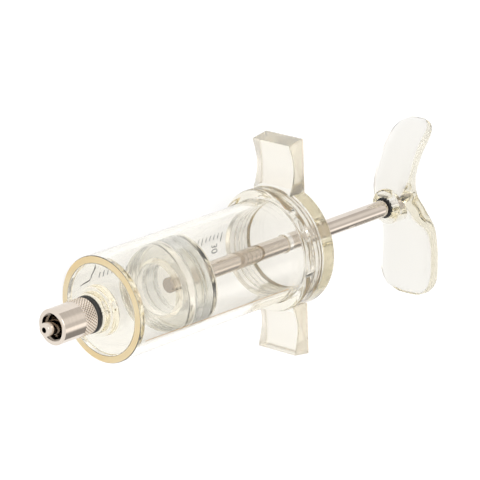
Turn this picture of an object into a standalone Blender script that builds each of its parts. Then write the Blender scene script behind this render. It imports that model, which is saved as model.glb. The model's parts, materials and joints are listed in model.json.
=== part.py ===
"""A reusable 30 ml veterinary syringe: clear barrel with a metal luer lock, winged screw cap, adjustable piston
on a plated rod, and a clear S-shaped palm handle.

Every piece is modelled on the syringe's own axis: local X runs from the barrel's front face towards the handle,
local Y towards the finger wings, and the syringe is then laid down on the plane z = 0, on the barrel's front rim
and the cap. Lengths are in metres, and a value that ends in _x is a place along the axis.
"""

import math

import bmesh
import bpy
from mathutils import Vector

# Clearances and facets
CLEARANCE = 0.0003
OVERRUN = 0.002
SEGMENTS = 48
SMALL_SEGMENTS = 32
ARC_POINTS = 4
EDGE_RADIUS = 0.0004
FLAT_ANGLE = math.radians(40)
MERGE_DISTANCE = 1e-6

# Barrel: a clear tube with a screw thread under the cap
BARREL_DIAMETER = 0.0320
BARREL_WALL = 0.00225
BARREL_LENGTH = 0.0758

# Screw thread between barrel and cap, drawn as rings
THREAD_TURNS = 4
THREAD_PITCH = 0.0018
THREAD_DEPTH = 0.0009

# Front plug: the disc that closes the tube, with a stepped boss for the nozzle
PLUG_THICKNESS = 0.0032
BOSS_BASE_DIAMETER = 0.0150
BOSS_BASE_HEIGHT = 0.0022
BOSS_DIAMETER = 0.0124
BOSS_HEIGHT = 0.0042
BOSS_EDGE_RADIUS = 0.0008
OUTLET_DIAMETER = 0.0024

# Luer lock nozzle: cone of the standard 6 % taper inside a collar of 8 mm thread diameter
COLLAR_DIAMETER = 0.0107
COLLAR_BORE_DIAMETER = 0.0082
COLLAR_LENGTH = 0.0132
COLLAR_BORE_DEPTH = 0.0072
KNURL_LENGTH = 0.0044
KNURL_HEIGHT = 0.0002
CONE_TIP_DIAMETER = 0.00395
CONE_REACH = 0.0029
LUER_TAPER = 0.06
CONE_BORE_DIAMETER = 0.0017
STUD_DIAMETER = 0.0050
STUD_LENGTH = 0.0048
LUER_RIDGE_HEIGHT = 0.0005
LUER_RIDGE_WIDTH = 0.0009
LUER_RIDGE_PITCH = 0.0022
LUER_RIDGES = 2

# Front washer of black rubber, between collar and boss
WASHER_DIAMETER = 0.0112
WASHER_THICKNESS = 0.0014
WASHER_HOLE_DIAMETER = 0.0058

# Cap: skirt, end wall and two finger wings in one moulding
CAP_WALL = 0.0031
CAP_SKIRT = 0.0077
CAP_END_WALL = 0.0030
CAP_EDGE_RADIUS = 0.0006
CAP_FRONT_RADIUS = 0.0015
WING_SPAN = 0.0682
WING_WIDTH = 0.0153
WING_TIP_THICKNESS = 0.0065
WING_WAIST_THICKNESS = 0.0047
WING_ROOT_THICKNESS = 0.0070
WING_ROOT_DEPTH = 0.0023
WING_TIP_SLANT = 0.0010
WING_EDGE_RADIUS = 0.0008
WING_CURVE_POINTS = 9

# Plunger rod
ROD_DIAMETER = 0.0053
ROD_THREAD_DIAMETER = 0.0046
ROD_TAIL_DIAMETER = 0.0042
ROD_TAIL_LENGTH = 0.0090
ROD_CHAMFER = 0.0004

# Piston: two clear plates that squeeze a silicone ring, so that turning the handle sets its grip
PISTON_FRONT_X = 0.0216
PISTON_FLANGE = 0.0026
PISTON_POCKET_SHARE = 0.567
PISTON_TUBE_WALL = 0.0013
PISTON_FLOOR = 0.0018
PISTON_SLACK = 0.0005
SEAL_LENGTH = 0.0065
SEAL_GROOVE_DEPTH = 0.0005
REAR_RING = 0.0009
REAR_WALL = 0.0013
ROD_END_REACH = 0.0055

# Handle: an S-shaped slab with a hub that takes the rod's threaded tail
HANDLE_FACE_X = 0.1242
HUB_DIAMETER = 0.0112
HUB_LENGTH = 0.0065
HANDLE_WASHER_DIAMETER = 0.0064
HANDLE_WASHER_THICKNESS = 0.0010
HANDLE_TOP = 0.0251
HANDLE_BOTTOM = 0.0305
HANDLE_SET_BACK = 0.0049
HANDLE_SWEEP = 0.0110
HANDLE_WIDTH = 0.0220
HANDLE_THICKNESS = 0.0060
HANDLE_CORNER_RADIUS = 0.0025
HANDLE_ROUNDNESS = 0.9
HANDLE_STATIONS = 31
HANDLE_CORNER_POINTS = 5
# Each row: height as a share of the reach above (+) or below (-) the hub, set-back of the slab's middle as a share
# of the sweep, width share and thickness share.
HANDLE_SHARES = (
    (1.00, 1.00, 0.30, 0.50),
    (0.95, 0.93, 0.52, 0.86),
    (0.84, 0.70, 0.66, 1.06),
    (0.64, 0.31, 0.67, 1.06),
    (0.38, 0.02, 0.68, 1.03),
    (0.15, 0.00, 0.74, 1.06),
    (-0.08, 0.27, 0.84, 1.16),
    (-0.25, 0.50, 0.93, 1.08),
    (-0.45, 0.58, 0.98, 0.93),
    (-0.65, 0.56, 1.00, 0.91),
    (-0.82, 0.53, 0.98, 0.90),
    (-0.94, 0.51, 0.78, 0.82),
    (-1.00, 0.50, 0.46, 0.50),
)

# Looks
CLEAR_PLASTIC = {
    "Base Color": (0.95, 0.94, 0.88, 1.0), "Roughness": 0.03, "Transmission Weight": 1.0, "IOR": 1.49
}
SILICONE = {"Base Color": (0.90, 0.87, 0.78, 1.0), "Roughness": 0.25, "Transmission Weight": 0.8, "IOR": 1.41}
BLACK_RUBBER = {"Base Color": (0.02, 0.02, 0.02, 1.0), "Roughness": 0.5}
PLATED_BRASS = {"Base Color": (0.72, 0.66, 0.60, 1.0), "Roughness": 0.22, "Metallic": 1.0}
POLISHED_ROD = {"Base Color": (0.70, 0.66, 0.62, 1.0), "Roughness": 0.15, "Metallic": 1.0}

# Sizes and places along the axis that follow from the ones above
BORE_DIAMETER = BARREL_DIAMETER - 2 * BARREL_WALL
CAP_DIAMETER = BARREL_DIAMETER + 2 * CAP_WALL
PISTON_POCKET_DIAMETER = PISTON_POCKET_SHARE * BORE_DIAMETER
BOSS_FACE_X = -BOSS_HEIGHT
WASHER_FACE_X = BOSS_FACE_X - CLEARANCE - WASHER_THICKNESS
COLLAR_BACK_X = WASHER_FACE_X - CLEARANCE
COLLAR_FRONT_X = COLLAR_BACK_X - COLLAR_LENGTH
THREAD_START_X = BARREL_LENGTH - THREAD_TURNS * THREAD_PITCH
CAP_INSIDE_X = BARREL_LENGTH + CLEARANCE
CAP_FRONT_X = CAP_INSIDE_X - CAP_SKIRT
CAP_BACK_X = CAP_INSIDE_X + CAP_END_WALL
SEAL_FRONT_X = PISTON_FRONT_X + PISTON_FLANGE + CLEARANCE
SEAL_BACK_X = SEAL_FRONT_X + SEAL_LENGTH
REAR_PLATE_X = SEAL_BACK_X + CLEARANCE
PISTON_TUBE_END_X = REAR_PLATE_X + REAR_RING - PISTON_SLACK
REAR_WALL_X = PISTON_TUBE_END_X + PISTON_SLACK
ROD_SHOULDER_X = REAR_WALL_X + REAR_WALL + CLEARANCE
ROD_FRONT_X = PISTON_TUBE_END_X - ROD_END_REACH
HANDLE_WASHER_X = HANDLE_FACE_X - CLEARANCE - HANDLE_WASHER_THICKNESS
ROD_BACK_X = HANDLE_WASHER_X - CLEARANCE


def clear_scene():
    for old in list(bpy.data.objects):
        bpy.data.objects.remove(old)


def new_collection(name):
    collection = bpy.data.collections.new(name)
    bpy.context.scene.collection.children.link(collection)
    return collection


def place(obj, look, collection, parent=None):
    """Links the object under its parent, with a material of its own in one of the looks named at the top."""
    material = bpy.data.materials.new(obj.name)
    material.use_nodes = True
    shader = material.node_tree.nodes["Principled BSDF"]
    for setting, value in look.items():
        shader.inputs[setting].default_value = value
    obj.data.materials.append(material)
    collection.objects.link(obj)
    obj.parent = parent
    return obj


def hide_helper(obj, collection, parent=None):
    collection.objects.link(obj)
    obj.parent = parent
    obj.hide_render = True
    obj.display_type = "WIRE"
    return obj


def rounded(corners):
    """An outline with each corner that carries a radius turned into an arc. A corner is (x, r) or (x, r, radius)."""
    outline = []
    for index, corner in enumerate(corners):
        here = Vector(corner[:2])
        if len(corner) == 2:
            outline.append(here)
            continue
        radius = corner[2]
        back = Vector(corners[index - 1][:2]) - here
        ahead = Vector(corners[(index + 1) % len(corners)][:2]) - here
        half_angle = back.angle(ahead) / 2
        reach = radius / math.tan(half_angle)
        centre = here + (back.normalized() + ahead.normalized()).normalized() * radius / math.sin(half_angle)
        first = (here + back.normalized() * reach - centre).normalized()
        last = (here + ahead.normalized() * reach - centre).normalized()
        for step in range(ARC_POINTS + 1):
            outline.append(centre + first.slerp(last, step / ARC_POINTS) * radius)
    return outline


def turned(name, corners, segments=SEGMENTS, closed=True):
    """A solid of revolution about local X, from an outline of (place along the axis, radius) corners. It starts
    half a facet round, so that a flat facet faces down."""
    outline = rounded(corners)[::-1]
    start = math.pi / segments
    mesh = bpy.data.meshes.new(name)
    points = [(x, r * math.cos(start), r * math.sin(start)) for x, r in outline]
    edges = [(i, i + 1) for i in range(len(points) - 1)]
    if closed:
        edges.append((len(points) - 1, 0))
    mesh.from_pydata(points, edges, [])
    obj = bpy.data.objects.new(name, mesh)
    screw = obj.modifiers.new("Turn", "SCREW")
    screw.axis = "X"
    screw.steps = segments
    screw.render_steps = segments
    screw.use_merge_vertices = True
    screw.merge_threshold = MERGE_DISTANCE
    return obj


def zigzag(start_x, low, high, turns, pitch):
    """Crests and roots of a ring thread that starts and ends at its root."""
    corners = [(start_x, low)]
    for turn in range(turns):
        corners.append((start_x + (turn + 0.5) * pitch, high))
        corners.append((start_x + (turn + 1) * pitch, low))
    return corners


def smooth_by_angle(obj):
    """Round faces shade smooth and edges sharper than FLAT_ANGLE stay crisp."""
    modifier = obj.modifiers.new("Weighted", "WEIGHTED_NORMAL")
    modifier.keep_sharp = True
    obj.data.shade_smooth()
    obj.data.set_sharp_from_angle(angle=FLAT_ANGLE)
    return obj


def boolean(obj, other, operation):
    modifier = obj.modifiers.new(operation.title() + " " + other.name, "BOOLEAN")
    modifier.operation = operation
    modifier.object = other
    modifier.solver = "EXACT"
    return modifier


def make_barrel(parts, axis):
    radius = BARREL_DIAMETER / 2
    bore = BORE_DIAMETER / 2
    corners = [
        (0.0, bore),
        (0.0, radius, EDGE_RADIUS),
        (THREAD_START_X - THREAD_DEPTH, radius),
        *zigzag(THREAD_START_X, radius - THREAD_DEPTH, radius, THREAD_TURNS, THREAD_PITCH),
        (BARREL_LENGTH, bore),
    ]
    return place(turned("barrel", corners), CLEAR_PLASTIC, parts, axis)


def make_front_plug(parts, axis):
    radius = BORE_DIAMETER / 2 - CLEARANCE
    socket = STUD_DIAMETER / 2 + CLEARANCE
    socket_end_x = COLLAR_BACK_X + STUD_LENGTH + CLEARANCE
    corners = [
        (BOSS_FACE_X, socket),
        (BOSS_FACE_X, BOSS_DIAMETER / 2, BOSS_EDGE_RADIUS),
        (-BOSS_BASE_HEIGHT, BOSS_DIAMETER / 2),
        (-BOSS_BASE_HEIGHT, BOSS_BASE_DIAMETER / 2, BOSS_EDGE_RADIUS),
        (0.0, BOSS_BASE_DIAMETER / 2),
        (0.0, radius),
        (PLUG_THICKNESS, radius, EDGE_RADIUS),
        (PLUG_THICKNESS, OUTLET_DIAMETER / 2),
        (socket_end_x, OUTLET_DIAMETER / 2),
        (socket_end_x, socket),
    ]
    return place(turned("front_plug", corners), CLEAR_PLASTIC, parts, axis)


def make_nozzle(parts, axis):
    outer = COLLAR_DIAMETER / 2
    inner = COLLAR_BORE_DIAMETER / 2
    floor_x = COLLAR_FRONT_X + COLLAR_BORE_DEPTH
    cone_tip_x = COLLAR_FRONT_X - CONE_REACH
    cone_root = CONE_TIP_DIAMETER / 2 + (floor_x - cone_tip_x) * LUER_TAPER / 2
    stud_end_x = COLLAR_BACK_X + STUD_LENGTH
    knurl_x = COLLAR_BACK_X - KNURL_LENGTH
    corners = [
        (cone_tip_x, CONE_BORE_DIAMETER / 2),
        (cone_tip_x, CONE_TIP_DIAMETER / 2, EDGE_RADIUS),
        (floor_x, cone_root),
        (floor_x, inner),
    ]
    ridge_base_x = COLLAR_FRONT_X + LUER_RIDGES * LUER_RIDGE_PITCH
    for ridge in range(LUER_RIDGES):
        crest_x = ridge_base_x - ridge * LUER_RIDGE_PITCH
        corners += [
            (crest_x + LUER_RIDGE_WIDTH / 2, inner),
            (crest_x, inner - LUER_RIDGE_HEIGHT),
            (crest_x - LUER_RIDGE_WIDTH / 2, inner),
        ]
    corners += [
        (COLLAR_FRONT_X, inner),
        (COLLAR_FRONT_X, outer, EDGE_RADIUS),
        (knurl_x - KNURL_HEIGHT, outer),
        (knurl_x, outer + KNURL_HEIGHT),
        (COLLAR_BACK_X, outer + KNURL_HEIGHT, KNURL_HEIGHT),
        (COLLAR_BACK_X, STUD_DIAMETER / 2),
        (stud_end_x, STUD_DIAMETER / 2),
        (stud_end_x, CONE_BORE_DIAMETER / 2),
    ]
    return place(turned("luer_nozzle", corners, SMALL_SEGMENTS), PLATED_BRASS, parts, axis)


def make_washer(name, start_x, thickness, diameter, hole_diameter, parts, parent):
    corners = [
        (start_x, hole_diameter / 2),
        (start_x, diameter / 2, EDGE_RADIUS),
        (start_x + thickness, diameter / 2, EDGE_RADIUS),
        (start_x + thickness, hole_diameter / 2),
    ]
    return place(turned(name, corners, SMALL_SEGMENTS), BLACK_RUBBER, parts, parent)


def wing_outline(side):
    """Side view of one wing: flat at the back, hollowed at the front for a finger, with a slanting tip."""
    root = CAP_DIAMETER / 2 - WING_ROOT_DEPTH
    tip = WING_SPAN / 2
    reach = tip - WING_TIP_SLANT
    outline = [Vector((CAP_BACK_X, root)), Vector((CAP_BACK_X, tip))]
    for step in range(WING_CURVE_POINTS):
        share = step / (WING_CURVE_POINTS - 1)
        end = WING_TIP_THICKNESS + (WING_ROOT_THICKNESS - WING_TIP_THICKNESS) * share
        hollow = (end - WING_WAIST_THICKNESS) * math.sin(math.pi * share)
        outline.append(Vector((CAP_BACK_X - end + hollow, reach - (reach - root) * share)))
    return [Vector((x, side * y)) for x, y in outline]


def extruded(name, outline, width):
    """A flat outline in the local XY plane, made solid to half the width on each side."""
    work = bmesh.new()
    points = [work.verts.new((x, y, -width / 2)) for x, y in outline]
    face = work.faces.new(points)
    moved = bmesh.ops.extrude_face_region(work, geom=[face])["geom"]
    top = [item for item in moved if isinstance(item, bmesh.types.BMVert)]
    bmesh.ops.translate(work, verts=top, vec=(0, 0, width))
    bmesh.ops.recalc_face_normals(work, faces=work.faces)
    mesh = bpy.data.meshes.new(name)
    work.to_mesh(mesh)
    work.free()
    return bpy.data.objects.new(name, mesh)


def make_cap(parts, helpers, axis):
    radius = CAP_DIAMETER / 2
    hole = ROD_DIAMETER / 2 + CLEARANCE
    crest = BARREL_DIAMETER / 2 + CLEARANCE
    thread = zigzag(THREAD_START_X, crest - THREAD_DEPTH, crest, THREAD_TURNS, THREAD_PITCH)
    corners = [
        (CAP_FRONT_X, crest),
        (CAP_FRONT_X, radius, CAP_FRONT_RADIUS),
        (CAP_BACK_X, radius, CAP_EDGE_RADIUS),
        (CAP_BACK_X, hole),
        (CAP_INSIDE_X, hole),
        (CAP_INSIDE_X, crest - THREAD_DEPTH),
        *reversed([corner for corner in thread if corner[0] > CAP_FRONT_X + THREAD_PITCH / 4]),
    ]
    cap = place(turned("cap", corners), CLEAR_PLASTIC, parts, axis)
    for side, name in ((1, "left_wing"), (-1, "right_wing")):
        wing = hide_helper(extruded(name, wing_outline(side), WING_WIDTH), helpers, axis)
        bevel = wing.modifiers.new("Rounded edges", "BEVEL")
        bevel.width = WING_EDGE_RADIUS
        bevel.segments = 2
        bevel.angle_limit = FLAT_ANGLE
        boolean(cap, wing, "UNION")
    return cap


def make_piston(parts, slider):
    flange = BORE_DIAMETER / 2 - CLEARANCE - SEAL_GROOVE_DEPTH
    pocket = PISTON_POCKET_DIAMETER / 2
    tube = pocket + PISTON_TUBE_WALL
    thread = ROD_THREAD_DIAMETER / 2 + CLEARANCE
    floor_x = PISTON_TUBE_END_X - PISTON_FLOOR
    front_plate = [
        (PISTON_FRONT_X, pocket),
        (PISTON_FRONT_X, flange, EDGE_RADIUS),
        (PISTON_FRONT_X + PISTON_FLANGE, flange, EDGE_RADIUS),
        (PISTON_FRONT_X + PISTON_FLANGE, tube),
        (PISTON_TUBE_END_X, tube),
        (PISTON_TUBE_END_X, thread),
        (floor_x, thread),
        (floor_x, pocket),
    ]
    place(turned("piston_front_plate", front_plate), CLEAR_PLASTIC, parts, slider)

    lip = BORE_DIAMETER / 2 - CLEARANCE
    middle_x = (SEAL_FRONT_X + SEAL_BACK_X) / 2
    seal = [
        (SEAL_FRONT_X, tube + CLEARANCE),
        (SEAL_FRONT_X, lip, EDGE_RADIUS),
        (middle_x - SEAL_GROOVE_DEPTH, lip),
        (middle_x, lip - SEAL_GROOVE_DEPTH),
        (middle_x + SEAL_GROOVE_DEPTH, lip),
        (SEAL_BACK_X, lip, EDGE_RADIUS),
        (SEAL_BACK_X, tube + CLEARANCE),
    ]
    place(turned("piston_seal", seal), SILICONE, parts, slider)

    rear_plate = [
        (REAR_PLATE_X, tube + CLEARANCE),
        (REAR_PLATE_X, flange, EDGE_RADIUS),
        (REAR_WALL_X + REAR_WALL, flange, EDGE_RADIUS),
        (REAR_WALL_X + REAR_WALL, thread),
        (REAR_WALL_X, thread),
        (REAR_WALL_X, tube + CLEARANCE),
    ]
    place(turned("piston_rear_plate", rear_plate), CLEAR_PLASTIC, parts, slider)


def make_rod(parts, turner):
    rod = ROD_DIAMETER / 2
    thread = ROD_THREAD_DIAMETER / 2
    tail = ROD_TAIL_DIAMETER / 2
    tail_end_x = ROD_BACK_X + ROD_TAIL_LENGTH
    corners = [
        (ROD_FRONT_X, 0.0),
        (ROD_FRONT_X, thread - ROD_CHAMFER),
        (ROD_FRONT_X + ROD_CHAMFER, thread),
        (ROD_SHOULDER_X, thread),
        (ROD_SHOULDER_X, rod),
        (ROD_BACK_X, rod),
        (ROD_BACK_X, tail),
        (tail_end_x - ROD_CHAMFER, tail),
        (tail_end_x, tail - ROD_CHAMFER),
        (tail_end_x, 0.0),
    ]
    rod_object = turned("plunger_rod", corners, SMALL_SEGMENTS, closed=False)
    return place(rod_object, POLISHED_ROD, parts, turner)


def handle_section(height_share, set_back_share, width_share, thickness_share):
    """One rounded rectangle across the handle, as points in the syringe's frame."""
    reach = HANDLE_TOP if height_share > 0 else HANDLE_BOTTOM
    middle_x = HANDLE_FACE_X + HANDLE_SET_BACK + set_back_share * HANDLE_SWEEP
    half_thickness = thickness_share * HANDLE_THICKNESS / 2
    half_width = width_share * HANDLE_WIDTH / 2
    radius = min(HANDLE_CORNER_RADIUS, half_thickness * HANDLE_ROUNDNESS)
    points = []
    for quarter, (along, across) in enumerate(((1, 1), (-1, 1), (-1, -1), (1, -1))):
        for step in range(HANDLE_CORNER_POINTS):
            angle = math.pi / 2 * (quarter + step / (HANDLE_CORNER_POINTS - 1))
            points.append((
                middle_x + along * (half_thickness - radius) + radius * math.cos(angle),
                height_share * reach,
                across * (half_width - radius) + radius * math.sin(angle),
            ))
    return points


def blended_shares(rows, count):
    """The table's rows as a smooth run of count rows, evenly spread by row, through every given row."""
    blended = []
    for step in range(count):
        place_in_table = step / (count - 1) * (len(rows) - 1)
        index = min(int(place_in_table), len(rows) - 2)
        t = place_in_table - index
        before = rows[max(index - 1, 0)]
        after = rows[min(index + 2, len(rows) - 1)]
        row = []
        for a, b, c, d in zip(before, rows[index], rows[index + 1], after):
            row.append(b + 0.5 * t * (c - a + t * (2 * a - 5 * b + 4 * c - d + t * (3 * (b - c) + d - a))))
        blended.append(row)
    return blended


def make_handle(parts, helpers, turner):
    work = bmesh.new()
    rings = []
    for shares in blended_shares(HANDLE_SHARES, HANDLE_STATIONS):
        rings.append([work.verts.new(point) for point in handle_section(*shares)])
    for ring, following in zip(rings, rings[1:]):
        for i in range(len(ring)):
            j = (i + 1) % len(ring)
            work.faces.new((ring[i], ring[j], following[j], following[i]))
    work.faces.new(rings[0])
    work.faces.new(rings[-1])
    bmesh.ops.recalc_face_normals(work, faces=work.faces)
    mesh = bpy.data.meshes.new("handle")
    work.to_mesh(mesh)
    work.free()
    handle = place(bpy.data.objects.new("handle", mesh), CLEAR_PLASTIC, parts, turner)

    hub_radius = HUB_DIAMETER / 2
    hub = turned("handle_hub", [
        (HANDLE_FACE_X, 0.0),
        (HANDLE_FACE_X, hub_radius, EDGE_RADIUS),
        (HANDLE_FACE_X + HUB_LENGTH, hub_radius),
        (HANDLE_FACE_X + HUB_LENGTH, 0.0),
    ], SMALL_SEGMENTS, closed=False)
    boolean(handle, hide_helper(hub, helpers, turner), "UNION")

    bore_radius = ROD_TAIL_DIAMETER / 2 + CLEARANCE
    bore_end_x = ROD_BACK_X + ROD_TAIL_LENGTH + CLEARANCE
    bore = turned("handle_bore", [
        (HANDLE_FACE_X - OVERRUN, 0.0),
        (HANDLE_FACE_X - OVERRUN, bore_radius),
        (bore_end_x, bore_radius),
        (bore_end_x, 0.0),
    ], SMALL_SEGMENTS, closed=False)
    boolean(handle, hide_helper(bore, helpers, turner), "DIFFERENCE")
    return handle


def new_empty(name, collection, parent=None):
    empty = bpy.data.objects.new(name, None)
    collection.objects.link(empty)
    empty.parent = parent
    return empty


def lay_down(axis, parts):
    """Tips the syringe until barrel rim and cap both touch the ground, with the box's middle over the origin."""
    facet = math.cos(math.pi / SEGMENTS)
    drop = (CAP_DIAMETER - BARREL_DIAMETER) / 2 * facet
    axis.rotation_euler.y = -math.atan2(drop, CAP_FRONT_X + CAP_FRONT_RADIUS - EDGE_RADIUS)
    bpy.context.view_layer.update()
    graph = bpy.context.evaluated_depsgraph_get()
    corners = []
    for obj in parts.objects:
        if obj.type == "MESH":
            evaluated = obj.evaluated_get(graph)
            mesh = evaluated.to_mesh()
            corners += [evaluated.matrix_world @ vertex.co for vertex in mesh.vertices]
            evaluated.to_mesh_clear()
    low = Vector([min(point[i] for point in corners) for i in range(3)])
    high = Vector([max(point[i] for point in corners) for i in range(3)])
    axis.location = (-(low.x + high.x) / 2, -(low.y + high.y) / 2, -low.z)


def main():
    clear_scene()
    parts = new_collection("luer_lock_syringe")
    helpers = new_collection("cutters")

    axis = new_empty("syringe_axis", parts)
    slider = new_empty("plunger_slide", parts, axis)
    turner = new_empty("plunger_turn", parts, slider)

    make_barrel(parts, axis)
    make_front_plug(parts, axis)
    make_nozzle(parts, axis)
    make_washer("nozzle_washer", WASHER_FACE_X, WASHER_THICKNESS, WASHER_DIAMETER, WASHER_HOLE_DIAMETER, parts, axis)
    make_cap(parts, helpers, axis)
    make_piston(parts, slider)
    make_rod(parts, turner)
    tail_hole = ROD_TAIL_DIAMETER + 2 * CLEARANCE
    make_washer(
        "handle_washer", HANDLE_WASHER_X, HANDLE_WASHER_THICKNESS, HANDLE_WASHER_DIAMETER, tail_hole, parts, turner
    )
    make_handle(parts, helpers, turner)
    for obj in parts.objects:
        if obj.type == "MESH":
            smooth_by_angle(obj)
    lay_down(axis, parts)
    print("the axis starts at", tuple(round(value, 5) for value in axis.location))
    print("the piston travels", PLUG_THICKNESS - PISTON_FRONT_X, "to", CAP_INSIDE_X - REAR_WALL_X - REAR_WALL)


main()
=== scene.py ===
# %% [markdown]
# # A clear luer lock syringe, dressed for its photograph
# The imported model already holds every piece at its true size. This lesson gives each piece its
# finish: clear yellowish plastic, plated brass, black rubber, translucent silicone and a printed
# scale. It starts by loading the model.

# %% Load the model
import json
import math

import bmesh
import bpy
from mathutils import Matrix, Vector


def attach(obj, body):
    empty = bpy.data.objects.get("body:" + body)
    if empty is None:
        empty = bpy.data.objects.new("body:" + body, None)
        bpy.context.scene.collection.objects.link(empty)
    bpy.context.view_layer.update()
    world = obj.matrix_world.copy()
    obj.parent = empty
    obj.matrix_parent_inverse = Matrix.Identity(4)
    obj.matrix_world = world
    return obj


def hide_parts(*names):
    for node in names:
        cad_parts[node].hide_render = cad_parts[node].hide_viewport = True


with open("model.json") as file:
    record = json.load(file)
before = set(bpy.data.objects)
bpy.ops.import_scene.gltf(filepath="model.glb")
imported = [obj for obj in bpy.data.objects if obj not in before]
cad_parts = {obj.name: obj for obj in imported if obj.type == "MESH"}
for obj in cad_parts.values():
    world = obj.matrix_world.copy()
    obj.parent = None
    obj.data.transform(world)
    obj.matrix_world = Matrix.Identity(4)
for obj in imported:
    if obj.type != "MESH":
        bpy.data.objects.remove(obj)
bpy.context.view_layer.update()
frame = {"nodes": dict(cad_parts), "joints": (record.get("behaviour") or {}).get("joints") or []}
scene = bpy.context.scene
print("nodes:", sorted(frame["nodes"]))

# %% [markdown]
# ## The syringe's own axis
# The syringe lies on the table on two rims of unlike size, so its axis leans by a few degrees. It
# is easier to model every piece along a straight X axis that starts at the barrel's front face,
# and to lay the finished mesh down afterwards. The plunger's slide joint gives the direction, and
# the handle's turning joint gives a point.

# %% The axis, from the joints
HINGE_PLACE = 0.06  # how far behind the barrel's front face the turning joint sits, in metres
joints = {joint["name"]: joint for joint in frame["joints"]}
along = Vector(joints["plunger_slide"]["axis"]).normalized()
start = Vector(joints["handle_turn"]["pos_m"]) - along * HINGE_PLACE
side = Vector((0, 1, 0))
up = along.cross(side)
lay_down = Matrix.Translation(start) @ Matrix((along, side, up)).transposed().to_4x4()
lean = math.degrees(math.asin(along.z))
print("the axis leans by", round(lean, 2), "degrees from", tuple(start))

# %% [markdown]
# ## Turning a piece on the lathe
# Almost everything here is round. A Screw modifier would turn an outline too, but a thread or a
# knurl needs a radius that changes on the way round. So the helpers below build the grid of
# points themselves. An outline is a list of places along and away from the axis, in metres. A
# third number rounds that corner, because no real edge is perfectly sharp.

# %% Outlines with rounded corners
ARC_STEPS = 5


def rounded(corners):
    """The outline's points, with a short arc at each corner that carries a radius."""
    outline = []
    for index, corner in enumerate(corners):
        here = Vector(corner[:2])
        if len(corner) == 2:
            outline.append(here)
            continue
        radius = corner[2]
        back = Vector(corners[index - 1][:2]) - here
        ahead = Vector(corners[(index + 1) % len(corners)][:2]) - here
        half = back.angle(ahead) / 2
        back, ahead = back.normalized(), ahead.normalized()
        reach = radius / math.tan(half)
        centre = here + (back + ahead).normalized() * radius / math.sin(half)
        first = (here + back * reach - centre).normalized()
        last = (here + ahead * reach - centre).normalized()
        for step in range(ARC_STEPS + 1):
            outline.append(centre + first.slerp(last, step / ARC_STEPS) * radius)
    return outline


def stations(first, last, step):
    """Places from first to last that are about one step apart."""
    count = max(2, round(abs(last - first) / step))
    return [first + (last - first) * i / count for i in range(count + 1)]


square = [(0, 0), (0, 1, 0.2), (1, 1), (1, 0)]
print("a square with one rounded corner has", len(rounded(square)), "points")

# %% [markdown]
# ## From outline to mesh
# The lathe copies the outline round the axis and joins neighbours with faces. A wave function may
# push each point in or out, which is how threads, knurls and notches are cut. The finished mesh
# is laid down along the syringe, and it is shaded smooth except where faces meet at a sharp angle.

# %% Lathe
SEGMENTS = 160
SHARP_DEGREES = 32
ON_AXIS = 1e-7  # a point nearer to the axis than this lies on it


def lathe(work, corners, segments, closed, wave):
    """Adds a turned body to work. With closed=False the outline starts and ends on the axis."""
    rings = []
    for x, r in rounded(corners):
        if r < ON_AXIS:
            rings.append([work.verts.new((x, 0, 0))] * segments)
            continue
        ring = []
        for step in range(segments):
            angle = 2 * math.pi * step / segments
            radius = r + (wave(x, r, angle) if wave else 0)
            place = (x, radius * math.cos(angle), radius * math.sin(angle))
            ring.append(work.verts.new(place))
        rings.append(ring)
    following = rings[1:] + rings[:1] if closed else rings[1:]
    for one, two in zip(rings, following):
        for step in range(segments):
            after = (step + 1) % segments
            loop = [one[step], one[after], two[after], two[step]]
            unique = [v for i, v in enumerate(loop) if v not in loop[:i]]
            if len(unique) >= 3:
                work.faces.new(unique)


def shade(mesh, sharp_degrees):
    """Smooth shading, with a crease where faces meet at more than this angle."""
    mesh.shade_smooth()
    mesh.set_sharp_from_angle(angle=math.radians(sharp_degrees))


def finish_mesh(name, work, sharp_degrees=SHARP_DEGREES):
    """Makes an object of the points and faces in work, laid down along the syringe."""
    bmesh.ops.recalc_face_normals(work, faces=work.faces)
    mesh = bpy.data.meshes.new(name)
    work.to_mesh(mesh)
    work.free()
    mesh.transform(lay_down)
    shade(mesh, sharp_degrees)
    obj = bpy.data.objects.new(name, mesh)
    scene.collection.objects.link(obj)
    return obj


def turned(name, corners, segments=SEGMENTS, closed=True, wave=None):
    """A piece from the lathe."""
    work = bmesh.new()
    lathe(work, corners, segments, closed, wave)
    return finish_mesh(name, work)


print("a turned piece has", SEGMENTS, "points on its way round, if it asks for no other number")

# %% [markdown]
# ## From mesh to finished piece
# A mark is a number stored on every face, so that a material can tell a cut end from a polished
# wall. Weighted normals give big faces the say over the shading, so that long walls stay true
# next to small rounded edges. Then the piece rides with its body and takes the place of the
# model's own piece. Painting the model itself would keep its plain rings where real threads show.

# %% Marks, coats and places
NORMAL_WEIGHT = 50


def mark_faces(piece, name, amount):
    """Stores amount(x, r) on every face, for the material to read."""
    back = lay_down.inverted()
    layer = piece.data.attributes.new(name, "FLOAT", "FACE")
    for face in piece.data.polygons:
        place = back @ face.center
        layer.data[face.index].value = amount(place.x, math.hypot(place.y, place.z))


def evaluated_mesh(obj):
    """A new mesh with the object's modifiers worked in."""
    bpy.context.view_layer.update()
    graph = bpy.context.evaluated_depsgraph_get()
    return bpy.data.meshes.new_from_object(obj.evaluated_get(graph))


def settle(piece):
    """Works the modifiers into the piece's own mesh."""
    mesh = evaluated_mesh(piece)
    piece.modifiers.clear()
    piece.data = mesh


def coat(piece, material):
    """Gives the piece its one material."""
    piece.data.materials.clear()
    piece.data.materials.append(material)
    print(piece.name, "is made of", material.name)


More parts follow.
